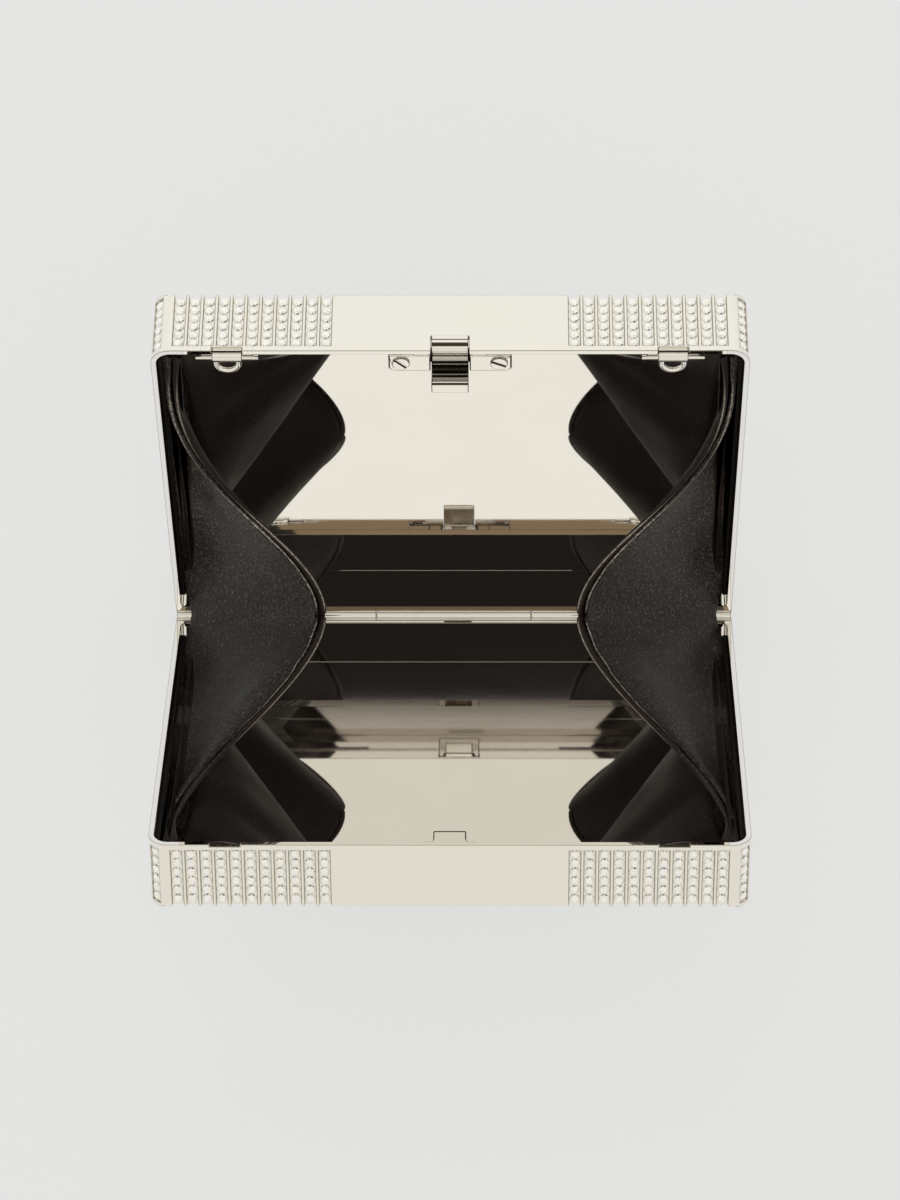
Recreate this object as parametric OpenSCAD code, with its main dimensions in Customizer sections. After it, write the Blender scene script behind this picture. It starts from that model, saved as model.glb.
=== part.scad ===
// Hard-shell evening clutch: two metal trays on a pinned hinge, standing open.
// Each shell is drawn lying down: hinge axis along X at the origin, +Y towards the
// far end wall, +Z out of the mouth. The tray therefore fills the space below Z = 0.

/* [Body] */
// Width across the side walls
body_w = 165; // [140:1:190]
// Height from the hinge axis to the far end wall
body_h = 121.5; // [108:0.5:140]
// Depth of one shell, from the mouth to the outer face
shell_depth = 21; // [19:0.5:26]
// Thickness of the side, end and face walls
wall_t = 1.6; // [1.4:0.1:2]
// Thickness of the wall that carries the hinge
hinge_wall_t = 4.1; // [3.8:0.1:4.8]
// Radius of the two upright corners at the far end
corner_r = 5.5; // [4.5:0.5:7]
// Radius of the edges round the outer face
edge_r = 1.25; // [1:0.25:2.5]
// Angle between the two mouths when the gussets are taut
open_angle = 67.6; // [54:0.2:72]

/* [Inside] */
// Thickness of the board between the outer face and the polished inner panel
board_t = 4.7; // [2:0.1:6]
// Thickness of the polished inner panel
panel_t = 1; // [0.8:0.1:1.2]

/* [Stone rows] */
// Half the width of the plain band down the middle
plain_half_w = 32.2; // [20:0.5:45]
// Distance from one row of stones to the next
row_pitch = 4.05; // [3.8:0.05:5]
// Width of the channel that holds one row
row_w = 3.2; // [2.8:0.1:3.5]
// Depth of the channel that holds one row
row_depth = 0.7; // [0.4:0.1:0.9]
// Plain margin between the mouth and the rows
rim_margin = 1.9; // [1.6:0.1:3]
// Plain margin between the hinge end and the rows
foot_margin = 6; // [5:0.5:9]

/* [Hinge] */
// Outer radius of the knuckles
barrel_r = 1.3; // [1.2:0.05:1.5]
// Radius of the hinge pin
hinge_pin_r = 0.6; // [0.5:0.05:0.7]
// Half the length of the middle knuckle
mid_knuckle_half = 23; // [15:1:35]
// Thickness of the hinge leaves
leaf_t = 0.9; // [0.7:0.1:1.2]
// How far a leaf reaches down the hinge wall
leaf_w = 8; // [6:0.5:12]

/* [Latch] */
// Width of the lift lever
lever_w = 10.2; // [8:0.2:12]
// Thickness of the lever's flat arm
lever_t = 0.9; // [0.8:0.1:1.1]
// Radius of the lever's barrel
lever_barrel_r = 1.9; // [1.7:0.1:2.1]
// Radius of the lever's pin
lever_pin_r = 0.5; // [0.4:0.05:0.55]
// How far the lever's hook stands out of the mouth
hook_h = 5.6; // [5:0.1:7.5]
// Depth of the notch for the lever in the end wall
lever_notch_d = 5.25; // [5:0.25:7]
// Overall width of the latch bracket
bracket_w = 33.8; // [30:0.5:40]
// Length of the latch bracket down the shell
bracket_h = 6.3; // [5.8:0.1:7.5]
// Thickness of the latch bracket
bracket_t = 0.8; // [0.6:0.1:0.8]
// Radius of the bracket's screw heads
screw_head_r = 2.4; // [1.8:0.1:2.6]
// Distance between the bracket's two screws
screw_spacing = 27; // [25:0.5:28]
// Width of the strike on the other shell
strike_w = 9; // [7:0.5:10]
// Reach of the strike from the end wall
strike_reach = 6.2; // [6:0.1:6.3]

/* [Chain lugs] */
// Distance of each lug's middle from the outside of the side wall
lug_in = 21.2; // [16:0.1:34]
// Length of a lug's barrel
lug_barrel_len = 8.2; // [7:0.2:10]
// Radius of a lug's barrel
lug_barrel_r = 1.3; // [1.2:0.05:1.4]
// Length of a lug's pin
lug_pin_len = 17.5; // [15:0.5:20]
// Radius of a lug's pin
lug_pin_r = 0.75; // [0.6:0.05:0.8]
// Radius of the lug's wire
lug_wire_r = 0.75; // [0.6:0.05:0.8]
// Radius of the lug's bow, to the middle of the wire
lug_bow_r = 3.1; // [2.6:0.1:3.3]

/* [Gussets] */
// How far a gusset's point reaches in from the side wall
gusset_reach = 43; // [30:1:50]
// Height of the gusset's point above the hinge axis
gusset_point_h = 60; // [52:1:66]
// Thickness of one ply of the gusset, measured across the clutch
ply_t = 1; // [0.8:0.1:1.2]
// Distance between the two plies
ply_gap = 1.8; // [1.6:0.1:2.2]
// Thickness of the strips that clamp the gussets to the side walls
clamp_t = 1.3; // [1:0.1:1.5]
// Width of the clamp strips
clamp_w = 1.2; // [1:0.1:1.5]
// Depth of the clamp strips below the mouth
clamp_depth = 3; // [2.5:0.25:4]

/* [Hidden] */
$fn = 64;
// How far a cut runs past the surface that it opens
over = 1;
// Gap of a piece that is fitted by hand
fit_gap = 0.1;
// Radial gap of a pin that turns in its bore
run_gap = 0.05;
// Radial gap of a rivet or screw in its hole
press_gap = 0.02;
// Gap between pieces that pass each other
move_gap = 0.3;
// Half the gap between the two rims when the clutch is shut
seam = 0.05;
half_open = open_angle / 2;
// Height of the hinge axis when the outer edges stand on a table
axis_h = edge_r - edge_r * cos(half_open) + (shell_depth - edge_r) * sin(half_open);
side_x = body_w / 2;
in_x = side_x - wall_t;
in_end = body_h - wall_t;
floor_depth = shell_depth - wall_t;
// Outer corners at the hinge end, and inner corners beside the hinge wall
foot_r = 1;
root_r = 2;
panel_depth = floor_depth - board_t - panel_t;
// Rows of stones
face_rows = floor((side_x - corner_r - plain_half_w) / row_pitch);
side_rows = floor((body_h - corner_r - foot_margin) / row_pitch);
stone_w = row_w - 2 * fit_gap;
// Hinge
leaf_root = barrel_r + 2 * fit_gap;
knuckle_gap = 0.1;
barrel_end = side_x - 2 * fit_gap;
// Latch, in the plane across the shell: distance from the hinge, and depth
lever_s = body_h - wall_t / 2;
// How far the lever's barrel lies below the mouth, as a share of its radius
barrel_sink_share = 0.2;
lever_d = lever_barrel_r * (1 + barrel_sink_share);
lever_top = lever_d - lever_barrel_r;
lever_gap = 0.1;
notch_half = lever_w / 2 + 2 * lever_gap;
strike_t = 1;
strike_top = 0.5;
strike_end = in_end - strike_reach;
strike_lip = hook_h - lever_t - move_gap - lever_gap;
hook_s = strike_end - move_gap - lever_gap;
hook_t = 1.2;
nose_over = 1.1;
heel_over = 2;
thumb_t = 1.4;
thumb_r = 0.6;
bracket_set_back = 1.2;
bracket_end = in_end - bracket_set_back;
bracket_top = 0.4;
// Where the screws sit across the bracket
screw_place_share = 0.42;
screw_s = bracket_end - screw_place_share * bracket_h;
spring_room = 2.3;
web_top = lever_top + lever_t + spring_room;
ear_t = 0.8;
ear_in = notch_half + lever_gap;
bracket_corner_r = 2;
post_w = 7;
post_depth = 4;
screw_r = 0.9;
screw_head_t = 0.6;
screw_len = 3.6;
slot_w = 0.6;
slot_t = 0.35;
slot_turns = [-45, -26];
lever_pin_seat = 2;
spring_t = 0.3;
rivet_r = 0.8;
rivet_head_r = 1.3;
rivet_head_t = 0.4;
rivet_x = 4.6;
strike_foot_w = 13.5;
strike_foot_h = 6.5;
strike_fillet_r = 2.5;
// Chain lugs
lug_x = side_x - lug_in;
lug_s = in_end - lug_barrel_r - fit_gap;
lug_d = 0.3;
lug_leg_extra = 1.1;
lug_leg = lug_barrel_r + lug_leg_extra;
lug_notch_room = 0.8;
lug_notch_w = 2 * (lug_bow_r + lug_wire_r) + lug_notch_room;
lug_seat_w = 1.6;
// Gussets
clamp_margin = 2;
gusset_margin = 3;
clamp_from = hinge_wall_t + clamp_margin;
clamp_to = in_end - corner_r;
gusset_from = hinge_wall_t + gusset_margin;
gusset_to = in_end - gusset_margin;
gusset_d = clamp_depth + clamp_w / 2;
crease_from_h = 5.5;
crease_from_in = 8;
// The fold leans this far towards the front shell
gusset_lean = 3;
lip_end_in = 4.5;
lip_end_d = 1.5;
// How far beyond the side wall the lip's curve is pulled, how deep, and where along
// the shell
lip_pull_out = 7.4;
back_pull_d = 0.8;
front_pull_d = 16;
back_pull_share = 0.517;
front_pull_share = 0.604;
// How far the lip runs outwards and upwards before it turns to the side wall
back_run_share = 0.366;
front_run_share = 0.356;
run_rise_share = 0.483;
// Where along the attached edge the gusset's point lies
point_share = 0.38;
gusset_steps = 18;
gusset_bays = 4;

// A flat plate outline with two radii at the hinge end and two at the far end
module plate_outline(w, y0, y1, r0, r1) {
    translate([-w / 2, y0 + r0])
        square([w, y1 - y0 - r0 - r1]);
    translate([-w / 2 + r1, y1 - 2 * r1])
        square([w - 2 * r1, 2 * r1]);
    translate([-w / 2 + r0, y0])
        square([w - 2 * r0, 2 * r0]);
    for (side = [-1, 1]) {
        translate([side * (w / 2 - r1), y1 - r1])
            circle(r1);
        translate([side * (w / 2 - r0), y0 + r0])
            circle(r0);
    }
}

// Side view of a shell in distance and height, drawn in from its outside by inset
module side_outline(inset) {
    r = edge_r - inset;
    translate([inset, -shell_depth + edge_r])
        square([body_h - 2 * inset, shell_depth - edge_r + over]);
    translate([edge_r, -shell_depth + inset])
        square([body_h - 2 * edge_r, r]);
    for (y = [edge_r, body_h - edge_r])
        translate([y, -shell_depth + edge_r])
            circle(r);
}

// Turns a drawing in distance and height into a slab across the clutch
module across(from_x, to_x) {
    translate([from_x, 0, 0])
        rotate([90, 0, 90])
            linear_extrude(to_x - from_x)
                children();
}

// Stands a shell's pieces up in the open pose
module back_pose() {
    translate([0, 0, axis_h])
        rotate([90 - half_open, 0, 0])
            children();
}

module front_pose() {
    translate([0, 0, axis_h])
        rotate([0, 0, 180])
            rotate([90 - half_open, 0, 0])
                children();
}

module shell_block() {
    intersection() {
        translate([0, 0, -shell_depth])
            linear_extrude(shell_depth - seam)
                plate_outline(body_w, 0, body_h, foot_r, corner_r);
        across(-side_x, side_x)
            side_outline(0);
        rotate([90, 0, 0])
            translate([0, 0, -body_h])
                linear_extrude(body_h)
                    face_outline();
    }
}

// View of a shell along its length, with the edges beside the outer face rounded
module face_outline() {
    translate([-side_x, -shell_depth + edge_r])
        square([body_w, shell_depth - edge_r]);
    translate([-side_x + edge_r, -shell_depth])
        square([body_w - 2 * edge_r, edge_r]);
    for (side = [-1, 1])
        translate([side * (side_x - edge_r), -shell_depth + edge_r])
            circle(edge_r);
}

// One channel up the outer face and over the end wall
module face_channel_outline(top_inset, foot) {
    intersection() {
        difference() {
            side_outline(top_inset);
            side_outline(row_depth);
        }
        translate([foot, -shell_depth - over])
            square([body_h - foot + over, shell_depth + over - rim_margin]);
    }
}

function face_row_x(i) = plain_half_w + (i + 0.5) * row_pitch;
function side_row_s(i) = body_h - corner_r - (i + 0.5) * row_pitch;

module face_channels() {
    for (side = [-1, 1], i = [0 : face_rows - 1])
        across(side * face_row_x(i) - row_w / 2, side * face_row_x(i) + row_w / 2)
            face_channel_outline(-over, foot_margin);
}

module side_channels() {
    for (side = [-1, 1], i = [0 : side_rows - 1])
        translate([side * (side_x - row_depth / 2 + over / 2), side_row_s(i), 0])
            upright_block(row_depth + over, row_w);
    for (side = [-1, 1])
        corner_frame(side)
            translate([corner_r - row_depth / 2 + over / 2, 0, 0])
                upright_block(row_depth + over, row_w);
}

// A block that runs from the rim margin down to the rounded edge
module upright_block(x, y) {
    translate([-x / 2, -y / 2, -shell_depth + edge_r])
        cube([x, y, shell_depth - edge_r - rim_margin]);
}

module corner_frame(side) {
    translate([side * (side_x - corner_r), body_h - corner_r, 0])
        rotate([0, 0, 90 - side * 45])
            children();
}

module face_stone_bars() {
    for (side = [-1, 1], i = [0 : face_rows - 1])
        across(side * face_row_x(i) - stone_w / 2, side * face_row_x(i) + stone_w / 2)
            face_channel_outline(seam, foot_margin + fit_gap);
}

module side_stone_bars() {
    for (side = [-1, 1], i = [0 : side_rows - 1])
        translate([side * (side_x - row_depth / 2 - seam / 2), side_row_s(i), 0])
            upright_block(row_depth - seam, stone_w);
    for (side = [-1, 1])
        corner_frame(side)
            intersection() {
                translate([corner_r - row_depth / 2, 0, 0])
                    upright_block(row_depth, stone_w);
                translate([0, 0, -shell_depth])
                    cylinder(r = corner_r - seam, h = shell_depth);
            }
}

// The empty tray with its stone channels, lug notches, hinge groove and leaf seat
module shell_body(lug_notch_d) {
    difference() {
        shell_block();
        translate([0, 0, -floor_depth])
            linear_extrude(shell_depth + over)
                plate_outline(2 * in_x, hinge_wall_t, in_end, root_r, corner_r - wall_t);
        face_channels();
        side_channels();
        for (side = [-1, 1])
            translate([side * lug_x - lug_notch_w / 2, in_end - over, -lug_notch_d])
                cube([lug_notch_w, wall_t + 2 * over, lug_notch_d + over]);
        across(-side_x - over, side_x + over)
            circle(barrel_r + fit_gap);
        translate([-in_x, -over, -leaf_w])
            cube([2 * in_x, leaf_t + over, leaf_w + over]);
    }
}

module panel() {
    translate([0, 0, -panel_depth - panel_t])
        linear_extrude(panel_t)
            plate_outline(2 * (in_x - fit_gap), hinge_wall_t + fit_gap, in_end - fit_gap,
                root_r - fit_gap, corner_r - wall_t - fit_gap);
}

module board() {
    inset = 3 * fit_gap;
    translate([0, 0, -floor_depth])
        linear_extrude(board_t)
            plate_outline(2 * (in_x - inset), hinge_wall_t + inset, in_end - inset,
                root_r - inset, corner_r - wall_t - inset);
}

// One leaf: a strip in the hinge wall with knuckles between each from and to
module hinge_leaf(knuckles) {
    difference() {
        union() {
            translate([-in_x, 0, -leaf_w])
                cube([2 * in_x, leaf_t, leaf_w - leaf_root]);
            for (k = knuckles) {
                across(k[0], k[1])
                    circle(barrel_r);
                // The tab under each knuckle stays inside the shell's side walls
                tab_from = max(k[0], -in_x);
                tab_to = min(k[1], in_x);
                translate([tab_from, 0, -leaf_root - seam])
                    cube([tab_to - tab_from, leaf_t, leaf_root]);
            }
        }
        across(-side_x - over, side_x + over)
            circle(hinge_pin_r + run_gap);
    }
}

module clamp(side) {
    translate([side > 0 ? in_x - clamp_t : -in_x, clamp_from, -clamp_depth - clamp_w])
        cube([clamp_t, clamp_to - clamp_from, clamp_w]);
}

// Points of the back half of a gusset, in the standing frame, for the left side.
// The front half is the same drawing with its own lean, run and pull, mirrored.
function shell_point(x, s, d) =
    [x, s * sin(half_open) + d * cos(half_open),
     axis_h + s * cos(half_open) - d * sin(half_open)];

function mix(a, b, t) = a + (b - a) * t;

function gusset_edge(u) =
    shell_point(-in_x + clamp_t + move_gap, mix(gusset_from, gusset_to, u), gusset_d);

function crease_start() = [-in_x + crease_from_in, 0, axis_h + crease_from_h];
function gusset_point(lean) = [-in_x + gusset_reach, lean, axis_h + gusset_point_h];
function lip_end() = shell_point(-in_x + lip_end_in, gusset_to, lip_end_d);

// The lip is drawn as a curve from the gusset's point to the end wall
function lip_run(lean, run) =
    gusset_point(lean) + run * gusset_point_h * [0, 1, run_rise_share];
function lip_pull(pull, d) = shell_point(-in_x - lip_pull_out, pull * gusset_to, d);

function lip(t, lean, run, pull, d) =
    pow(1 - t, 3) * gusset_point(lean) + 3 * t * pow(1 - t, 2) * lip_run(lean, run)
    + 3 * t * t * (1 - t) * lip_pull(pull, d) + pow(t, 3) * lip_end();

function gusset_rim(u, lean, run, pull, d) = u < point_share
    ? mix(crease_start(), gusset_point(lean), u / point_share)
    : lip((u - point_share) / (1 - point_share), lean, run, pull, d);

function gusset_at(u, v, lean, run, pull, d) =
    mix(gusset_edge(u), gusset_rim(u, lean, run, pull, d), v);

// One half of a gusset ply: a thin skin between its attached edge and its fold and lip
module gusset_half(shift, lean, run, pull, d) {
    columns = gusset_bays + 1;
    count = (gusset_steps + 1) * columns;
    points = [for (k = [0, 1], i = [0 : gusset_steps], j = [0 : gusset_bays])
        gusset_at(i / gusset_steps, j / gusset_bays, lean, run, pull, d)
        + [shift + k * ply_t, 0, 0]];
    skin = [for (i = [0 : gusset_steps - 1], j = [0 : gusset_bays - 1])
        let (a = i * columns + j)
        each [[a, a + 1, a + columns], [a + 1, a + columns + 1, a + columns]]];
    lining = [for (f = skin) [f[2] + count, f[1] + count, f[0] + count]];
    hems = [for (i = [0 : gusset_steps - 1], j = [0, gusset_bays])
        let (a = i * columns + j, b = a + columns, c = a + count, e = b + count)
        each j == 0 ? [[a, b, c], [b, e, c]] : [[b, a, c], [b, c, e]]];
    ends = [for (i = [0, gusset_steps], j = [0 : gusset_bays - 1])
        let (a = i * columns + j, b = a + 1, c = a + count, e = b + count)
        each i == 0 ? [[b, a, c], [b, c, e]] : [[a, b, c], [b, e, c]]];
    polyhedron(points, concat(skin, lining, hems, ends));
}

module gusset(side, shift) {
    mirror([side > 0 ? 1 : 0, 0, 0]) {
        gusset_half(shift, -gusset_lean, back_run_share, back_pull_share, back_pull_d);
        mirror([0, 1, 0])
            gusset_half(shift, gusset_lean, front_run_share, front_pull_share,
                front_pull_d);
    }
}

// Side view of the lift lever: thumb piece, barrel, flat arm and hook
module lever_outline() {
    hook_top = hook_h - lever_t;
    translate([lever_s, -lever_d])
        circle(lever_barrel_r);
    // Thumb piece outside the end wall
    thumb_end = lever_notch_d - lever_gap;
    translate([lever_s + lever_barrel_r - thumb_t, -thumb_end + thumb_r])
        square([thumb_t, thumb_end - lever_d - thumb_r]);
    translate([lever_s + lever_barrel_r - thumb_t, -thumb_end])
        square([thumb_t - thumb_r, thumb_r]);
    translate([lever_s + lever_barrel_r - thumb_r, -thumb_end + thumb_r])
        circle(thumb_r);
    // Flat arm and upright
    translate([hook_s - hook_t + lever_t / 2, -lever_top - lever_t])
        square([lever_s - hook_s + hook_t - lever_t / 2, lever_t]);
    translate([hook_s - hook_t, -lever_top - lever_t / 2])
        square([hook_t, hook_top + lever_top + lever_t / 2]);
    translate([hook_s - hook_t + lever_t / 2, -lever_top - lever_t / 2])
        circle(lever_t / 2);
    // Round-ended head, with its nose over the strike
    translate([hook_s - hook_t - heel_over + lever_t / 2, hook_top])
        square([hook_t + heel_over + nose_over - lever_t, lever_t]);
    for (y = [hook_s - hook_t - heel_over + lever_t / 2, hook_s + nose_over - lever_t / 2])
        translate([y, hook_top + lever_t / 2])
            circle(lever_t / 2);
}

module lever_pin_bore(gap) {
    across(-notch_half - lever_pin_seat, notch_half + lever_pin_seat)
        translate([lever_s, -lever_d])
            circle(lever_pin_r + gap);
}

// Two blocks on the end wall that the bracket is screwed down to
module bracket_posts() {
    for (side = [-1, 1])
        difference() {
            translate([side * screw_spacing / 2 - post_w / 2, bracket_end - bracket_h,
                -bracket_top - bracket_t - post_depth])
                cube([post_w, in_end - bracket_end + bracket_h + wall_t / 2, post_depth]);
            translate([side * screw_spacing / 2, screw_s,
                -bracket_top - screw_len - fit_gap])
                cylinder(r = screw_r, h = screw_len + over);
        }
}

module bracket_flange_outline() {
    difference() {
        plate_outline(bracket_w, bracket_end - bracket_h, bracket_end,
            bracket_corner_r, fit_gap);
        translate([-ear_in, bracket_end - bracket_h - over])
            square([2 * ear_in, bracket_h + 2 * over]);
    }
}

module strike_top_outline() {
    half = strike_w / 2;
    translate([-half, strike_end])
        square([strike_w, strike_reach]);
    difference() {
        translate([-half - strike_fillet_r, in_end - strike_fillet_r])
            square([strike_w + 2 * strike_fillet_r, strike_fillet_r]);
        for (side = [-1, 1])
            translate([side * (half + strike_fillet_r), in_end - strike_fillet_r])
                circle(strike_fillet_r);
    }
}

// Places a rivet drawing on the strike's foot, pointing out through the end wall
module at_rivets() {
    for (side = [-1, 1])
        translate([side * rivet_x, in_end - strike_t, -strike_top - strike_foot_h / 2])
            rotate([-90, 0, 0])
                children();
}

module lug_pin(side) {
    translate([side * lug_x, lug_s, -lug_d])
        rotate([0, 90, 0])
            cylinder(r = lug_pin_r, h = lug_pin_len, center = true);
    for (end = [-1, 1])
        translate([side * lug_x + end * (lug_pin_len - lug_seat_w) / 2 - lug_seat_w / 2,
            lug_s, -lug_d - lug_pin_r])
            cube([lug_seat_w, in_end - lug_s, lug_pin_r + lug_d - seam]);
}

module lug(side) {
    translate([side * lug_x, lug_s, -lug_d])
        difference() {
            union() {
                rotate([0, 90, 0])
                    cylinder(r = lug_barrel_r, h = lug_barrel_len, center = true);
                for (leg = [-1, 1])
                    translate([leg * lug_bow_r, 0, 0])
                        rotate([90, 0, 0])
                            cylinder(r = lug_wire_r, h = lug_leg);
                translate([0, -lug_leg, 0])
                    rotate([0, 0, 180])
                        rotate_extrude(angle = 180)
                            translate([lug_bow_r, 0])
                                circle(lug_wire_r);
            }
            rotate([0, 90, 0])
                cylinder(r = lug_pin_r + run_gap, h = lug_barrel_len + over, center = true);
        }
}

metal = [0.86, 0.84, 0.79];
bright = [0.93, 0.92, 0.88];
dark = [0.12, 0.11, 0.1];
stone = [0.9, 0.95, 1];

module front_shell() {
    color(metal)
        front_pose()
            difference() {
                shell_body(lug_wire_r - lug_d + move_gap);
                at_rivets()
                    cylinder(r = rivet_r, h = strike_t + wall_t / 2);
            }
}

module back_shell() {
    color(metal)
        back_pose()
            difference() {
                union() {
                    shell_body(lug_wire_r + lug_d + move_gap);
                    bracket_posts();
                }
                translate([-notch_half, in_end - over, -lever_notch_d])
                    cube([2 * notch_half, wall_t + 2 * over, lever_notch_d + over]);
                lever_pin_bore(press_gap);
            }
}

module front_panel() {
    color(bright)
        front_pose()
            panel();
}

module back_panel() {
    color(bright)
        back_pose()
            panel();
}

module front_board() {
    color("tan")
        front_pose()
            board();
}

module back_board() {
    color("tan")
        back_pose()
            board();
}

module front_face_stones() {
    color(stone)
        front_pose()
            face_stone_bars();
}

module back_face_stones() {
    color(stone)
        back_pose()
            face_stone_bars();
}

module front_side_stones() {
    color(stone)
        front_pose()
            side_stone_bars();
}

module back_side_stones() {
    color(stone)
        back_pose()
            side_stone_bars();
}

module front_hinge_leaf() {
    inner = mid_knuckle_half + knuckle_gap;
    color(metal)
        front_pose()
            hinge_leaf([[-barrel_end, -inner], [inner, barrel_end]]);
}

module back_hinge_leaf() {
    inner = mid_knuckle_half - knuckle_gap;
    color(metal)
        back_pose()
            hinge_leaf([[-inner, inner]]);
}

module hinge_pin() {
    color(bright)
        front_pose()
            across(-barrel_end, barrel_end)
                circle(hinge_pin_r);
}

module front_left_clamp() {
    color(metal)
        front_pose()
            clamp(1);
}

module front_right_clamp() {
    color(metal)
        front_pose()
            clamp(-1);
}

module back_left_clamp() {
    color(metal)
        back_pose()
            clamp(-1);
}

module back_right_clamp() {
    color(metal)
        back_pose()
            clamp(1);
}

module left_gusset() {
    color(dark)
        gusset(-1, 0);
}

module right_gusset() {
    color(dark)
        gusset(1, 0);
}

module left_gusset_lining() {
    color(dark)
        gusset(-1, ply_gap);
}

module right_gusset_lining() {
    color(dark)
        gusset(1, ply_gap);
}

module strike_plate() {
    color(metal)
        front_pose()
            difference() {
                union() {
                    translate([0, 0, -strike_top - strike_t])
                        linear_extrude(strike_t)
                            strike_top_outline();
                    translate([-strike_w / 2, strike_end, -strike_lip])
                        cube([strike_w, strike_t, strike_lip - strike_top]);
                    translate([-strike_foot_w / 2, in_end - strike_t,
                        -strike_top - strike_foot_h])
                        cube([strike_foot_w, strike_t, strike_foot_h]);
                }
                at_rivets()
                    translate([0, 0, -over])
                        cylinder(r = rivet_r, h = strike_t + 2 * over);
            }
}

module strike_rivets() {
    color(bright)
        front_pose()
            at_rivets() {
                cylinder(r = rivet_r - press_gap, h = strike_t + wall_t / 2 - press_gap);
                translate([0, 0, -rivet_head_t])
                    cylinder(r = rivet_head_r, h = rivet_head_t);
            }
}

module latch_bracket() {
    color(metal)
        back_pose()
            difference() {
                union() {
                    translate([0, 0, -bracket_top - bracket_t])
                        linear_extrude(bracket_t)
                            bracket_flange_outline();
                    translate([-ear_in - ear_t, bracket_end - bracket_h,
                        -web_top - bracket_t])
                        cube([2 * (ear_in + ear_t), bracket_h, bracket_t]);
                    for (side = [-1, 1])
                        translate([side * (ear_in + ear_t / 2) - ear_t / 2,
                            bracket_end - bracket_h, -web_top - bracket_t])
                            cube([ear_t, bracket_h, web_top + bracket_t - bracket_top]);
                }
                for (side = [-1, 1])
                    translate([side * screw_spacing / 2, screw_s,
                        -bracket_top - bracket_t - over])
                        cylinder(r = screw_r, h = bracket_t + 2 * over);
            }
}

module latch_screws() {
    color(bright)
        back_pose()
            for (i = [0, 1])
                translate([(i - 0.5) * screw_spacing, screw_s, -bracket_top]) {
                    difference() {
                        cylinder(r = screw_head_r, h = screw_head_t);
                        rotate([0, 0, slot_turns[i]])
                            translate([-screw_head_r - over, -slot_w / 2,
                                screw_head_t - slot_t])
                                cube([2 * (screw_head_r + over), slot_w, slot_t + over]);
                    }
                    translate([0, 0, -screw_len])
                        cylinder(r = screw_r - press_gap, h = screw_len);
                }
}

module latch_lever() {
    color(bright)
        back_pose()
            difference() {
                across(-lever_w / 2, lever_w / 2)
                    lever_outline();
                across(-lever_w, lever_w)
                    translate([lever_s, -lever_d])
                        circle(lever_pin_r + run_gap);
            }
}

module latch_pin() {
    pin_half = notch_half + lever_pin_seat - fit_gap;
    color(metal)
        back_pose()
            across(-pin_half, pin_half)
                translate([lever_s, -lever_d])
                    circle(lever_pin_r);
}

// A bent leaf that lies on the bracket's web and pushes the lever's arm up
module latch_spring() {
    foot = bracket_end - bracket_h / 2;
    tip = bracket_end - bracket_h + lever_gap;
    tip_top = lever_top + lever_t + move_gap;
    color("silver")
        back_pose()
            across(-lever_w / 4, lever_w / 4)
                polygon([[bracket_end, -web_top], [foot, -web_top],
                    [tip, -tip_top - spring_t], [tip, -tip_top],
                    [foot, -web_top + spring_t], [bracket_end, -web_top + spring_t]]);
}

module left_lug_pin() {
    color(metal)
        back_pose()
            lug_pin(-1);
}

module right_lug_pin() {
    color(metal)
        back_pose()
            lug_pin(1);
}

module left_lug() {
    color(bright)
        back_pose()
            lug(-1);
}

module right_lug() {
    color(bright)
        back_pose()
            lug(1);
}

front_shell();
front_panel();
front_board();
front_face_stones();
front_side_stones();
front_hinge_leaf();
hinge_pin();
strike_plate();
strike_rivets();
front_left_clamp();
front_right_clamp();
left_gusset();
right_gusset();
left_gusset_lining();
right_gusset_lining();
back_shell();
back_panel();
back_board();
back_face_stones();
back_side_stones();
back_hinge_leaf();
back_left_clamp();
back_right_clamp();
latch_bracket();
latch_screws();
latch_lever();
latch_pin();
latch_spring();
left_lug_pin();
right_lug_pin();
left_lug();
right_lug();
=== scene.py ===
"""An open hard-shell evening clutch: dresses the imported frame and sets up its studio."""

import math
import random

import bmesh
import bpy
from mathutils import Matrix, Vector, noise


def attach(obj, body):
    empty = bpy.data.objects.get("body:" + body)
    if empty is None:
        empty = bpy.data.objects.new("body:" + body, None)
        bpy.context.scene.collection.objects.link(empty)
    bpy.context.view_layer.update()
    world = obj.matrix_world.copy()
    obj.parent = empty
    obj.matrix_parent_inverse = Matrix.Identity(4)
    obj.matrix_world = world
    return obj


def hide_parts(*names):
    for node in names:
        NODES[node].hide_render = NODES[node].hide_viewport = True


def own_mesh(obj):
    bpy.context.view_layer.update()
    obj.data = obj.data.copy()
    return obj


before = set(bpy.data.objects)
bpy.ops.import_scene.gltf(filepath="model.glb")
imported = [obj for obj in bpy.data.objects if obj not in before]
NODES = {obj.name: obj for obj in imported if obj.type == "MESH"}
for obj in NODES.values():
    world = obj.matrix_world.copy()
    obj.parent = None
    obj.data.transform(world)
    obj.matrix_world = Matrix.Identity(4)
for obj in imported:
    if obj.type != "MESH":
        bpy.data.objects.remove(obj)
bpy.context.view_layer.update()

bl_info = {
    "name": "Open evening clutch",
    "version": (1, 0, 0),
    "blender": (4, 5, 0),
    "location": "View3D > Sidebar > Clutch",
    "description": "Metal, crystal rows, gussets and fittings of a hard-shell evening clutch",
    "category": "Add Mesh",
}

MM = 0.001
PER_METRE = 1000.0  # turns a size in millimetres into a pattern's scale
FRONT, BACK = "front_half", "back_half"
HALVES = ((FRONT, "front"), (BACK, "back"))
SIDES = ("left", "right")


# Sizes and colours


def length(name, text, value):
    return bpy.props.FloatProperty(
        name=name, description=text, default=value * MM, unit="LENGTH", precision=5
    )


def rounding(name, value):
    return length(name, "Width of the rounded edges", value)


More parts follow.
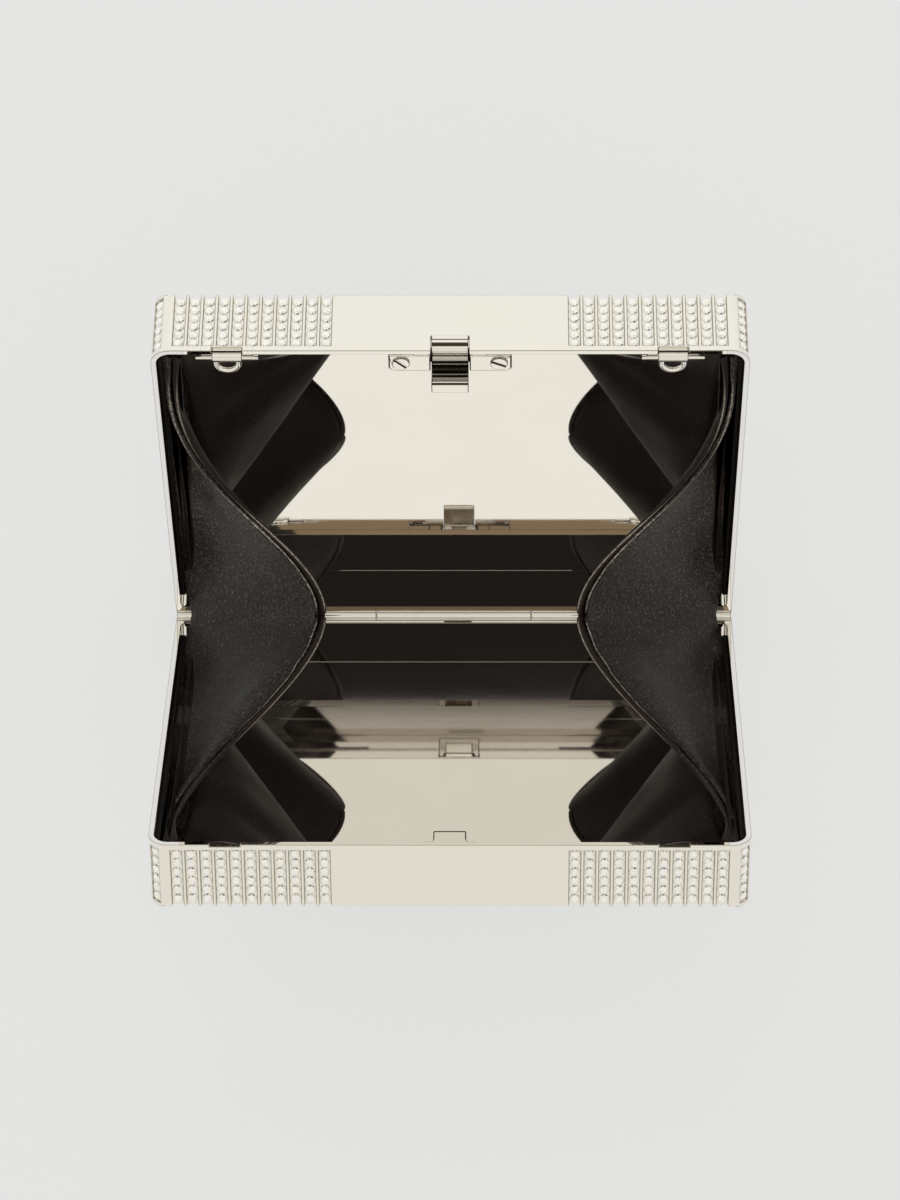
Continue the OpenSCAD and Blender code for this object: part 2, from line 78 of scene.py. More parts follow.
def span(name, text, low, high):
    return bpy.props.FloatVectorProperty(
        name=name, description=text, default=(low * MM, high * MM), size=2,
        unit="LENGTH", precision=5,
    )


def share(name, text, value):
    return bpy.props.FloatProperty(
        name=name, description=text, default=value, min=0.0, max=4.0
    )


def count(name, text, value):
    return bpy.props.IntProperty(name=name, description=text, default=value, min=1)


def angle(name, text, value):
    return bpy.props.FloatProperty(
        name=name, description=text, default=math.radians(value), subtype="ANGLE"
    )


def colour(name, text, value):
    return bpy.props.FloatVectorProperty(
        name=name, description=text, default=value, subtype="COLOR", min=0.0, max=1.0
    )


class ClutchShellSizes(bpy.types.PropertyGroup):
    """Form and place of the two trays"""

    half_open: angle("Half opening", "Angle of each mouth from upright", 33.8)
    axis_height: length("Hinge height", "Hinge axis above the table", 11.198)
    width: length("Width", "Across the side walls", 165)
    height: length("Height", "Hinge axis to far end wall", 121.5)
    depth: length("Depth", "Mouth to outer face", 21)
    wall: length("Wall", "Thickness of the side and end walls", 1.6)
    edge_radius: length("Edge radius", "Rounding round the outer face", 1.25)
    corner_radius: length("Corner radius", "Upright corners at the far end", 5.5)


class ClutchEdgeSizes(bpy.types.PropertyGroup):
    """Rounded edges of the pieces"""

    tray: rounding("Trays", 0.16)
    panel: rounding("Panels", 0.15)
    board: rounding("Boards", 0.3)
    leaf: rounding("Hinge leaves", 0.14)
    hinge_pin: rounding("Hinge pin", 0.1)
    clamp: rounding("Gusset strips", 0.2)
    bracket: rounding("Latch bracket", 0.34)
    screws: rounding("Latch screws", 0.2)
    lever: rounding("Latch lever", 0.22)
    latch_pin: rounding("Latch pin", 0.08)
    spring: rounding("Latch spring", 0.06)
    strike: rounding("Strike", 0.3)
    rivets: rounding("Strike rivets", 0.1)
    lug: rounding("Lugs and their bars", 0.18)


class ClutchStoneSizes(bpy.types.PropertyGroup):
    """The cut stones and their rows"""

    radius: length("Stone radius", "Radius of a stone's girdle", 1.39)
    crown: length("Crown height", "Girdle to table", 0.5)
    pitch: length("Stone pitch", "Along a row", 2.94)
    row_pitch: length("Row pitch", "From one row to the next", 4.05)
    plain_half: length("Plain half width", "Half of the band with no stones", 32.2)
    rim_margin: length("Rim margin", "Mouth to the first stone's edge", 1.9)
    foot_margin: length("Foot margin", "Hinge end to the last stone's edge", 6.0)
    recess: length("Recess", "Outer face down to the tops of the stones", 0.04)
    tilt: angle("Tilt", "Spread of the stones' small tilts", 2.0)
    seed: count("Seed", "Seed of the small turns and tilts", 7)


class ClutchGussetSizes(bpy.types.PropertyGroup):
    """Form, plies and sewing of the gussets"""

    wall_gap: length("Wall gap", "Side wall to the attached edge", 1.6)
    edge_depth: length("Edge depth", "Mouth to the attached edge", 3.6)
    start: length("Start", "Hinge axis to the attached edge's start", 7.1)
    finish: length("Finish", "Hinge axis to the attached edge's end", 116.9)
    reach: length("Reach", "Side wall to the gusset's point", 43)
    point_height: length("Point height", "Hinge axis to the gusset's point", 60)
    point_share: share("Point share", "Where along its edge the point lies", 0.38)
    lean: length("Lean", "How far the fold leans to the front", 3)
    fold_in: length("Fold foot across", "Side wall to the foot of the fold", 3.6)
    fold_up: length("Fold foot height", "Hinge axis to the foot of the fold", 5.5)
    back_run: share("Back run", "How far the back lip runs outwards", 0.366)
    front_run: share("Front run", "How far the front lip runs outwards", 0.356)
    rise: share("Rise", "How steeply the lips leave the point", 0.483)
    pull_out: length("Pull across", "Side wall to the pull on the lips", 7.4)
    back_pull: share("Back pull", "Pull on the back lip, along the shell", 0.517)
    front_pull: share("Front pull", "Pull on the front lip, along the shell", 0.604)
    back_pull_depth: length("Back pull depth", "Mouth to the back pull", 0.8)
    front_pull_depth: length("Front pull depth", "Mouth to the front pull", 16)
    end_in: length("Lip end across", "Side wall to the end of the lips", 4.5)
    end_depth: length("Lip end depth", "Mouth to the end of the lips", 1.5)
    fold_round: length("Fold rounding", "Radius of the rounded fold", 3.2)
    sag: length("Sag", "Depth of the valley beside the wall", 4.5)
    sag_room: length("Sag room", "Width that gives the valley its full depth", 20)
    ply: length("Ply", "Thickness of one ply", 0.9)
    hem: length("Hem", "Width of the turned hem", 2.8)
    ply_gap: length("Ply gap", "Between the two plies at the lip", 2.0)
    lap: length("Lap", "How far each half laps over the other along the fold", 0.25)
    set_back: length("Set back", "Mean distance that the outer lip falls short", 1.0)
    waver: length("Waver", "How far the outer lip wanders from that", 0.9)
    waver_pitch: length("Waver pitch", "From one wave of the outer lip to the next", 7)
    stitch: length("Stitch pitch", "From one stitch to the next", 1.9)
    thread: length("Thread", "Half the thickness of a stitch", 0.16)
    cut_width: length("Cut width", "Attached edge to the point, laid flat", 57)
    cut_length: length("Cut length", "Length of the attached edge", 110)


class ClutchLatchSizes(bpy.types.PropertyGroup):
    """Painted dark bands on the latch and strike, which stand in for reflections of dark
    things round the clutch, and the spring's seat
    """

    # Each band below is painted dark on the lever's faces, as a painted reflection of dark
    # surroundings
    thumb_line: span("Thumb line", "Dark line over the thumb edge, from the mouth", 3.05, 3.4)
    thumb_dark_band: span("Thumb dark band", "Hollow over the barrel, from the mouth", 1.1, 2.15)
    arm_start: span("Arm's upper dark band", "From the hinge axis", 115.7, 116.9)
    arm_middle: span("Arm's soft band", "From the hinge axis", 115.2, 115.7)
    arm_finish: span("Arm's lower dark band", "From the hinge axis", 113.55, 115.2)
    hook_upper: span("Hook's upper dark band", "From the mouth", -1.3, -0.1)
    hook_lower: span("Hook's lower dark band", "From the mouth", -2.45, -1.85)
    strike_line: length("Strike line", "Dark line along the strike's lip", 0.8)
    spring_seat: length("Spring seat", "Mouth to the face that carries the spring", 3.58)


class ClutchFinishes(bpy.types.PropertyGroup):
    """Colours of the finishes"""

    shell: colour("Tray metal", "Polished trays", (0.91, 0.89, 0.865))
    panel: colour("Panel metal", "Mirror panels", (0.91, 0.89, 0.87))
    fitting: colour("Fittings", "Latch, lugs and hinge", (0.905, 0.883, 0.85))
    cloth: colour("Cloth", "Outer ply of the gussets", (0.0045, 0.0036, 0.0031))
    lining: colour("Lining", "Gusset lining", (0.0160, 0.0105, 0.0088))
    wrap: colour("Strips", "Cloth round the gusset strips", (0.006, 0.0048, 0.0042))
    # edge and rim are darker tones painted on rounded edges and bands, as painted shade and
    # painted dark reflections
    edge: colour("Fitting edges", "Edges and crevices of fittings", (0.06, 0.048, 0.036))
    rim: colour("Tray edges", "Edges of the trays and of soft hollows", (0.48, 0.44, 0.37))
    # lint specks, and the painted highlight along the gussets' lips and seams
    lint_and_highlight: colour("Lint and highlight", "Worn edges of the gusset's cloth", (0.58, 0.53, 0.48))
    thread: colour("Thread", "Stitching", (0.06, 0.055, 0.05))
    board: colour("Boards", "Boards behind the panels", (0.34, 0.25, 0.16))
    stone: colour("Stones", "Foil-backed crystal", (1.0, 1.0, 0.985))
    floor: colour("Table", "Studio table", (0.25, 0.255, 0.265))


class ClutchStudio(bpy.types.PropertyGroup):
    """Camera and table"""

    lens: bpy.props.FloatProperty(
        name="Lens", description="Focal length in millimetres", default=124.32
    )
    distance: length("Distance", "Hinge axis to the camera", 1233)
    tilt: angle("Tilt", "Lean of the camera towards the front", 3.055)
    roll_off: angle("Side lean", "Lean of the camera towards the right", 0.70)
    glow: share("Table glow", "Light from under the table", 0.55)
    table_half: length("Table size", "Middle of the table to its edge", 3000)
    table_drop: length("Table drop", "Table's face below the clutch's feet", 0.2)
    shift_x: length("Shift across", "Hinge axis right of the view's middle", 1.14)
    shift_y: length("Shift along", "Hinge axis above the view's middle", -4.61)


# Shader maths


class Value:
    """A socket that adds its own Math nodes when it is used in a sum."""

    def __init__(self, finish, socket):
        self.finish, self.socket = finish, socket

    def _maths(self, operation, *terms):
        node = self.finish.add(
            "ShaderNodeMath", {"operation": operation}, dict(enumerate(terms))
        )
        return Value(self.finish, node.outputs[0])

    def __add__(self, other):
        return self._maths("ADD", self, other)

    def __sub__(self, other):
        return self._maths("SUBTRACT", self, other)

    def __rsub__(self, other):
        return self._maths("SUBTRACT", other, self)

    def __mul__(self, other):
        return self._maths("MULTIPLY", self, other)

    __radd__ = __add__
    __rmul__ = __mul__

    def __pow__(self, other):
        return self._maths("POWER", self, other)

    def angle_from(self, other):
        """Angle of a slope of which this Value is the rise and the other the run."""
        return self._maths("ARCTAN2", self, other)

    def size(self):
        return self._maths("ABSOLUTE", self)

    def clamped(self, low, high, to_low=0.0, to_high=1.0):
        """Goes from to_low to to_high as this Value goes from low to high."""
        node = self.finish.add(
            "ShaderNodeMapRange", {"clamp": True},
            {"Value": self, "From Min": low, "From Max": high,
             "To Min": to_low, "To Max": to_high},
        )
        return Value(self.finish, node.outputs[0])


class Nodes:
    """A node tree whose sockets take numbers, colours, sockets or Values."""

    def __init__(self, tree):
        self.tree = tree

    def feed(self, socket, value):
        if isinstance(value, Value):
            value = value.socket
        if isinstance(value, bpy.types.NodeSocket):
            self.tree.links.new(value, socket)
        elif socket.type == "RGBA" and len(value) == 3:
            socket.default_value = (*value, 1.0)
        else:
            socket.default_value = value

    def add(self, kind, settings=None, sockets=None):
        node = self.tree.nodes.new(kind)
        for key, value in (settings or {}).items():
            if key == "stops":
                ramp = node.color_ramp.elements
                while len(ramp) < len(value):
                    ramp.new(0.5)
                for element, (at, shade) in zip(ramp, value):
                    element.position, element.color = at, (*shade, 1.0)
            else:
                setattr(node, key, value)
        for key, value in (sockets or {}).items():
            self.feed(node.inputs[key], value)
        return node

    def parts(self, vector):
        """The three parts of a vector, each as a Value."""
        node = self.add("ShaderNodeSeparateXYZ", {}, {0: vector})
        return [Value(self, socket) for socket in node.outputs]

    def ramp(self, factor, stops):
        node = self.add("ShaderNodeValToRGB", {"stops": stops}, {0: factor})
        return node.outputs[0]

    def shades(self, mask, low, high):
        """A colour that goes from low to high as the mask goes from 0 to 1."""
        node = self.add(
            "ShaderNodeMix", {"data_type": "RGBA", "clamp_factor": True},
            {0: mask, 6: low, 7: high},
        )
        return node.outputs[2]


class Finish(Nodes):
    """One material and its Principled shader."""

    def __init__(self, name, **sockets):
        self.material = bpy.data.materials.new(name)
        self.material.use_nodes = True
        super().__init__(self.material.node_tree)
        self.shader = self.tree.nodes["Principled BSDF"]
        self.place = self.add("ShaderNodeTexCoord").outputs["Object"]
        self.set(**sockets)

    def set(self, **sockets):
        for key, value in sockets.items():
            self.feed(self.shader.inputs[key.replace("_", " ")], value)

    def cloud(self, size_mm, detail=3.0, rough=0.5, stretch=None):
        """Soft noise whose blotches are about size_mm wide."""
        at = self.place
        if stretch:
            node = self.add("ShaderNodeMapping", {}, {"Vector": at, "Scale": stretch})
            at = node.outputs[0]
        node = self.add(
            "ShaderNodeTexNoise", {},
            {"Vector": at, "Scale": PER_METRE / size_mm, "Detail": detail, "Roughness": rough},
        )
        return Value(self, node.outputs[0])

    def cells(self, size_mm):
        """Distance from the middles of small cells, for the grain of cloth and its lint."""
        node = self.add(
            "ShaderNodeTexVoronoi", {"feature": "F1"},
            {"Vector": self.place, "Scale": PER_METRE / size_mm},
        )
        return Value(self, node.outputs["Distance"])

    def relief(self, height, strength, depth_mm):
        node = self.add(
            "ShaderNodeBump", {},
            {"Height": height, "Strength": strength, "Distance": depth_mm * MM},
        )
        self.set(Normal=node.outputs[0])

    def attribute(self, name):
        node = self.add("ShaderNodeAttribute", {"attribute_name": name})
        return Value(self, node.outputs["Fac"])


# Metal: what a smudge takes of red, green and blue at wear 1, and the stretches of each
# pattern's noise over which it comes to show
SMUDGE_FADE = (0.03, 0.03, 0.05)
SMUDGE_TINTS, SMUDGE_DULLS = (0.42, 0.72), (0.5, 0.8)
SPECK_DULLS, HAIRLINE_DULLS = (0.55, 0.8), (0.66, 0.8)
# Cloth: the same stretches, and how much of each pattern shows
PORES, CLOUDS, CLOUD_ROUGHENS = (0.53, 0.68), (0.3, 0.75), (0.3, 0.7)
PORE_SHARE, CLOUD_SHARE = 0.85, 0.15
PAINTED_LIGHT_TURNS = (-0.01, 0.03)  # metres behind the hinge over which the painted light changes, from painted shade on the front half to painted light on the back
LINT_MM, LINT_SHOWS = 1.5, 0.3
LINT_DOTS, LINT_PORES = (0.05, 0.17), (0.45, 0.6)
# Painted highlight along lips and seams: how sharply it falls off, and the noise that breaks
# it
HIGHLIGHT_POWER, HIGHLIGHT_PORES, HIGHLIGHT_LEAST = 2.5, (0.38, 0.58), 0.15
SMOOTHER, ROUGHER = 0.06, 0.08  # by how much the cloud changes the roughness
PEBBLE_RELIEF, PORE_RELIEF = 0.7, 0.5
# Crystal: tone of a facet in shade, and roughness in shade and in light
FACET_DARK, FACET_ROUGH = 0.10, (0.10, 0.02)


def polished(name, tint, gloss, wear):
    """Plated metal with faint smudges and hairlines; gloss is its lowest roughness."""
    finish = Finish(name, Metallic=1.0)
    smudge = finish.cloud(size_mm=26, detail=4)
    fine = finish.cloud(size_mm=2.2, detail=3)
    hairline = finish.cloud(size_mm=0.5, detail=2, stretch=(0.06, 1.0, 1.0))
    darker = [c * (1.0 - fade * wear) for c, fade in zip(tint, SMUDGE_FADE)]
    dulled, speckled, scratched = 0.03 * wear, 0.02 * wear, 0.03 * wear
    finish.set(
        Base_Color=finish.shades(smudge.clamped(*SMUDGE_TINTS), tuple(tint), darker),
        Roughness=smudge.clamped(*SMUDGE_DULLS, gloss, gloss + dulled)
        + fine.clamped(*SPECK_DULLS, 0.0, speckled)
        + hairline.clamped(*HAIRLINE_DULLS, 0.0, scratched),
    )
    finish.relief(hairline, strength=0.01 * wear, depth_mm=0.01)
    return finish.material


def grained(name, tint, lift, rough, grain_mm, depth_mm, shine=0.5, pale=None, painted_half_light=None):
    """Cloth or board: pebbled grain, cloudy shade, a satin surface and pale lines.

    lift is how much lighter its specks are, pale the colour of lint and painted highlights,
    and painted_half_light how much the specks show in front and behind: painted shade and
    light.
    """
    finish = Finish(name, Specular_IOR_Level=shine)
    pebble = finish.cells(grain_mm)
    pore = finish.cloud(grain_mm * 0.9, detail=3, rough=0.7)
    cloudy = finish.cloud(size_mm=14, detail=4)
    light = [min(1.0, c * lift) for c in tint]
    speck = pore.clamped(*PORES) * PORE_SHARE + cloudy.clamped(*CLOUDS) * CLOUD_SHARE
    # Painted light and shade: the specks are painted darker in the front half and lighter in
    # the back half
    if painted_half_light:
        speck = speck * finish.parts(finish.place)[1].clamped(*PAINTED_LIGHT_TURNS, *painted_half_light)
    cover = finish.shades(speck, tuple(tint), light)
    if pale:
        dots = 1 - finish.cells(LINT_MM).clamped(*LINT_DOTS)
        lint = dots * pore.clamped(*LINT_PORES)
        # painted highlight along the lip's edge and the seam, broken by noise
        patches = pore.clamped(*HIGHLIGHT_PORES, HIGHLIGHT_LEAST, 1.0)
        painted_lip_highlight = finish.attribute("pale") ** HIGHLIGHT_POWER * patches
        cover = finish.shades(painted_lip_highlight + lint * LINT_SHOWS, cover, tuple(pale))
    finish.set(
        Base_Color=cover,
        Roughness=cloudy.clamped(*CLOUD_ROUGHENS, rough - SMOOTHER, rough + ROUGHER),
    )
    height = pebble * PEBBLE_RELIEF + pore * PORE_RELIEF
    finish.relief(height, strength=0.55, depth_mm=depth_mm)
    return finish.material


def crystal(name, tint):
    """Foil-backed stones: bright facets of uneven tone, with an arc of painted shade, under a
    clear glaze.
    """
    finish = Finish(name, Metallic=0.15, Coat_Weight=1.0, Coat_Roughness=0.01)
    tone = finish.attribute("facet")
    dark = [c * FACET_DARK for c in tint]
    finish.set(
        Base_Color=finish.shades(tone, dark, tuple(tint)),
        Roughness=tone.clamped(0.0, 1.0, *FACET_ROUGH),
    )
    return finish.material


# Mesh helpers


def sizes(context, group):
    return getattr(context.scene, "clutch_" + group)


def shell_frame(context, body):
    """Matrix from a shell's own frame (across, from the hinge, out of the mouth)."""
    shell = sizes(context, "shell")
    lift = Matrix.Translation((0, 0, shell.axis_height))
    turn = Matrix.Rotation(math.pi / 2 - shell.half_open, 4, "X")
    if body == FRONT:
        return lift @ Matrix.Rotation(math.pi, 4, "Z") @ turn
    return lift @ turn


def shell_ways(context, body):
    """A shell's origin on the hinge axis, its way to the end wall and out of its mouth."""
    place = shell_frame(context, body)
    turn = place.to_3x3()
    return place.to_translation(), turn @ Vector((0, 1, 0)), turn @ Vector((0, 0, 1))


BRIGHT, DARK, SOFT = 0, 1, 2  # places of the finishes on a dressed piece; DARK and SOFT hold painted shade and painted dark reflections
ACROSS = Vector((1, 0, 0))
SAME_POINT, TOUCHING = 2e-6, 1e-7  # for the CAD's points, and for our own
FACES = 0.5  # how far a face looks one way before it counts as looking that way
FLAT_ANGLE = math.radians(0.6)  # faces that meet at less are one flat face
SHARP_ANGLE = math.radians(32)  # edges sharper than this are rounded
CREASE = 34  # degrees past which shading isn't smoothed


def merged_copy(node):
    """The CAD node's own shape with its loose triangles joined into flat faces."""
    bm = bmesh.new()
    bm.from_mesh(NODES[node].data)
    bmesh.ops.remove_doubles(bm, verts=bm.verts, dist=SAME_POINT)
    bmesh.ops.dissolve_limit(bm, angle_limit=FLAT_ANGLE, verts=bm.verts, edges=bm.edges)
    return bm


def soften_edges(bm, width):
    """Rounds the sharp edges, and gives their strips the second finish, which on trays and
    fittings is a darker tone: painted shade and painted dark reflections.
    """
    sharp = [
        e for e in bm.edges
        if len(e.link_faces) == 2 and e.calc_face_angle(0.0) > SHARP_ANGLE
    ]
    made = bmesh.ops.bevel(
        bm, geom=sharp, offset=width, offset_type="OFFSET", segments=2, profile=0.5,
        affect="EDGES", clamp_overlap=False, material=DARK,
    )
    # The faces beside a polished edge stay flat, so their reflections stay straight
    strip = set(made["faces"])
    for edge in {e for face in strip for e in face.edges}:
        edge.smooth = all(face in strip for face in edge.link_faces)


def finished(bm, name, materials, body, nodes=(), smooth=CREASE, weigh=True):
    """Turns a bmesh into a shaded piece that rides on a body and replaces its nodes."""
    limit = math.radians(smooth)
    for edge in bm.edges:
        if len(edge.link_faces) != 2 or edge.calc_face_angle(0.0) > limit:
            edge.smooth = False
    mesh = bpy.data.meshes.new(name)
    bm.to_mesh(mesh)
    bm.free()
    piece = bpy.data.objects.new(name, mesh)
    bpy.context.collection.objects.link(piece)
    for material in materials:
        mesh.materials.append(material)
    mesh.shade_smooth()
    if weigh:
        even = piece.modifiers.new("Even normals", "WEIGHTED_NORMAL")
        even.keep_sharp = True
        even.weight = 80
    if body:
        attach(piece, body)
    if nodes:
        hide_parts(*nodes)
    return piece


def dressed(context, node, body, width, finishes, shade=None):
    """A CAD node's own shape with rounded edges, which get the second of its finishes."""
    bm = merged_copy(node)
    soften_edges(bm, getattr(sizes(context, "edges"), width))
    if shade:
        shade(context, bm)
    materials = [finish_for(context, key) for key in finishes]
    return finished(bm, node + "_dressed", materials, body, [node])


def shade_sides(bm, ways, steep, finish):
    """Gives the faces that look one of these ways another finish."""
    for face in bm.faces:
        if any(face.normal.dot(way) > steep for way in ways):
            face.material_index = finish


def shade_band(bm, centre, axis, band, toward, finish):
    """Cuts a band across an axis; its faces that look one way get another finish."""
    for at in band:
        bmesh.ops.bisect_plane(
            bm, geom=bm.verts[:] + bm.edges[:] + bm.faces[:], dist=TOUCHING,
            plane_co=centre + axis * at, plane_no=axis,
        )
    for face in bm.faces:
        at = (face.calc_center_median() - centre).dot(axis)
        if band[0] < at < band[1] and face.normal.dot(toward) > FACES:
            face.material_index = finish


def shade_bracket(context, bm):
    """Gives the bracket's upper faces, rounded edges too, the bright metal, and paints its
    ends dark as painted shade and dark reflections.
    """
    upward = shell_ways(context, BACK)[1]
    shade_sides(bm, (upward,), steep=0.2, finish=BRIGHT)
    shade_sides(bm, (ACROSS, -ACROSS), steep=0.5, finish=DARK)


def shade_lever(context, bm):
    """Paints dark bands across the lever, from its thumb edge to its hook, as painted
    reflections of dark things round it; one band is painted softer.
    """
    hinge, along, mouth = shell_ways(context, BACK)
    bands = sizes(context, "latch")
    for band, finish in ((bands.arm_start, DARK), (bands.arm_middle, SOFT),
                         (bands.arm_finish, DARK)):
        shade_band(bm, hinge, along, band, mouth, finish)
    for band in (bands.thumb_line, bands.thumb_dark_band, bands.hook_upper, bands.hook_lower):
        shade_band(bm, hinge, -mouth, band, along, DARK)


def shade_strike(context, bm):
    """Paints the strike's ends and a line along its lip dark, as painted shade and painted
    dark reflections.
    """
    hinge, along, mouth = shell_ways(context, FRONT)
    lip = min((v.co - hinge).dot(along) for v in bm.verts)
    line = (lip, lip + sizes(context, "latch").strike_line)
    shade_sides(bm, (ACROSS, -ACROSS), steep=0.8, finish=DARK)
    shade_band(bm, hinge, along, line, mouth, DARK)


FINISHES = {}


def finish_for(context, key):
    """Each finish is made once and shared by the pieces that use it."""
    if key not in FINISHES:
        tints = sizes(context, "finishes")
        makers = {
            "shell": lambda: polished("Tray metal", tints.shell, gloss=0.02, wear=0.25),
            "panel": lambda: polished("Mirror panel", tints.panel, gloss=0.015, wear=0.3),
            "fitting": lambda: polished(
                "Polished fittings", tints.fitting, gloss=0.05, wear=0.8
            ),
            "hinge": lambda: polished("Hinge metal", tints.fitting, gloss=0.12, wear=1.4),
            # The next two are painted shade and painted dark reflections for rounded edges and
            # bands
            "edge": lambda: polished("Fitting edges", tints.edge, gloss=0.12, wear=1.0),
            "rim": lambda: polished("Tray edges", tints.rim, gloss=0.12, wear=1.0),
            "cloth": lambda: grained(
                "Gusset cloth", tints.cloth, lift=26.0, rough=0.5, grain_mm=0.8,
                depth_mm=0.16, shine=0.16, pale=tints.lint_and_highlight, painted_half_light=(0.62, 1.8),
            ),
            "lining": lambda: grained(
                "Gusset lining", tints.lining, lift=1.8, rough=0.5, grain_mm=0.5,
                depth_mm=0.03, shine=0.12, pale=tints.lint_and_highlight,
            ),
            "wrap": lambda: grained(
                "Wrapped strips", tints.wrap, lift=1.8, rough=0.5, grain_mm=0.5,
                depth_mm=0.03, shine=0.15,
            ),
            "thread": lambda: grained(
                "Thread", tints.thread, lift=1.6, rough=0.6, grain_mm=0.25, depth_mm=0.02
            ),
            "board": lambda: grained(
                "Board", tints.board, lift=1.3, rough=0.9, grain_mm=1.5, depth_mm=0.05
            ),
            "stone": lambda: crystal("Crystal", tints.stone),
        }
        FINISHES[key] = makers[key]()
    return FINISHES[key]


# Pieces


class ClutchDressShells(bpy.types.Operator):
    """Rounds and polishes both metal trays"""

    bl_idname = "clutch.dress_shells"
    bl_label = "Polish the trays"

    def execute(self, context):
        for body, part in HALVES:
            dressed(context, part + "_shell", body, "tray", ("shell", "rim"))
        return {"FINISHED"}


class ClutchDressPanels(bpy.types.Operator):
    """Gives the panels and boards their finishes"""

    bl_idname = "clutch.dress_panels"
    bl_label = "Fit panels and boards"

    def execute(self, context):
        for body, part in HALVES:
            for kind, slot in (("panel", "panel_metal"), ("board", "backing_board")):
                dressed(context, f"{part}_{kind}", body, kind, (kind, kind))
        return {"FINISHED"}


# Rings of a stone from its table down: share of its radius, height in crowns, corners,
# and turn in shares of a side
STONE_RINGS = (
    (0.50, 1.0, 8, 0.5),
    (0.80, 0.62, 8, 0.0),
    (1.0, 0.0, 16, 0.0),
    (0.97, -0.5, 16, 0.0),
)
STONE_FOOT = -0.49  # in crowns; the hidden face below it is taken out
FACET_JOIN = math.radians(2.0)
# How far a facet faces up (rise) or towards the shade (turn), and the tones it then has
TABLE_RISE, TABLE_TONES = 0.97, (0.92, 1.0)
SKIRT_RISE, SKIRT_TONE = 0.2, 0.8
SHADE_RISE, SHADE_TURN, SHADE_TONES = 0.75, 0.6, (0.0, 0.0, 0.3, 0.9)
CROWN_TONES = (1.0, 1.0, 1.0, 0.8)
SHADE_ASIDE = 0.55  # how far the shaded arc is turned to the side on the back half


def cut_stone(stone):
    """One stone: a brilliant's crown on a short skirt, table upwards, girdle at zero."""
    bm = bmesh.new()
    for wide, high, corners, turn in STONE_RINGS:
        spot = Matrix.Translation((0, 0, stone.crown * high)) @ Matrix.Rotation(
            math.tau / corners * turn, 4, "Z"
        )
        bmesh.ops.create_circle(
            bm, segments=corners, radius=stone.radius * wide, matrix=spot
        )
    bmesh.ops.convex_hull(bm, input=bm.verts)
    foot = stone.crown * STONE_FOOT
    bmesh.ops.delete(
        bm, geom=[f for f in bm.faces if f.calc_center_median().z < foot],
        context="FACES_ONLY",
    )
    bmesh.ops.dissolve_limit(bm, angle_limit=FACET_JOIN, verts=bm.verts, edges=bm.edges)
    mesh = bpy.data.meshes.new("stone_pattern")
    bm.to_mesh(mesh)
    bm.free()
    return mesh


def facet_tone(face, up, shaded, chance):
    """How bright a facet shows: white, but for one arc of the crown in shade."""
    rise, turned = face.normal.dot(up), face.normal.dot(shaded)
    if rise > TABLE_RISE:
        return chance.uniform(*TABLE_TONES)
    if rise < SKIRT_RISE:
        return SKIRT_TONE
    if rise < SHADE_RISE and turned > SHADE_TURN:
        return chance.choice(SHADE_TONES)
    return chance.choice(CROWN_TONES)


def set_stones(context, name, body, spots, node, chance):
    """Sets a copy of the cut stone at each spot, each with its own turn and tilt."""
    stone = sizes(context, "stones")
    pattern = cut_stone(stone)
    bm = bmesh.new()
    tone = bm.faces.layers.float.new("facet")
    place = shell_frame(context, body)
    aside = SHADE_ASIDE if body == BACK else 0.0
    shaded = (place.to_3x3() @ Vector((aside, 0, 1))).normalized()
    for spot in spots:
        turn = Matrix.Rotation(chance.uniform(0, math.tau), 4, "Z")
        tilt = Matrix.Rotation(chance.gauss(0, stone.tilt), 4, "X") @ Matrix.Rotation(
            chance.gauss(0, stone.tilt), 4, "Y"
        )
        seat = place @ spot @ tilt @ turn
        first_vert, first_face = len(bm.verts), len(bm.faces)
        bm.from_mesh(pattern)
        bm.verts.ensure_lookup_table()
        bm.faces.ensure_lookup_table()
        bmesh.ops.transform(bm, matrix=seat, verts=bm.verts[first_vert:])
        up = (seat.to_3x3() @ Vector((0, 0, 1))).normalized()
        for face in bm.faces[first_face:]:
            face.normal_update()
            face[tone] = facet_tone(face, up, shaded, chance)
    bpy.data.meshes.remove(pattern)
    return finished(
        bm, name, [finish_for(context, "stone")], body, [node],
        smooth=1, weigh=False,
    )


def stones_down(shell, stone):
    """How many stones a row has from the mouth down to the rounded edge."""
    overhang = 0.3 * stone.radius  # what the last stone may stand over the rounding
    room = shell.depth - shell.edge_radius - stone.rim_margin + overhang
    return int(room / stone.pitch)


def depth_of(stone, k):
    """Depth below the mouth of the middle of a row's stone."""
    return stone.rim_margin + (k + 0.5) * stone.pitch


def face_spots(shell, stone):
    """Rows beside the plain band: down the end wall, then along the big face."""
    sink = stone.crown + stone.recess
    room = shell.width / 2 - shell.corner_radius - stone.plain_half
    top = shell.height - shell.edge_radius - stone.radius
    on_face = 1 + int((top - stone.foot_margin - stone.radius) / stone.pitch)
    wall_turn = Matrix.Rotation(-math.pi / 2, 4, "X")
    face_turn = Matrix.Rotation(math.pi, 4, "X")
    spots = []
    for side in (-1, 1):
        for row in range(int(room / stone.row_pitch)):
            x = side * (stone.plain_half + (row + 0.5) * stone.row_pitch)
            for k in range(stones_down(shell, stone)):
                at = (x, shell.height - sink, -depth_of(stone, k))
                spots.append(Matrix.Translation(at) @ wall_turn)
            for k in range(on_face):
                at = (x, top - k * stone.pitch, -shell.depth + sink)
                spots.append(Matrix.Translation(at) @ face_turn)
    return spots


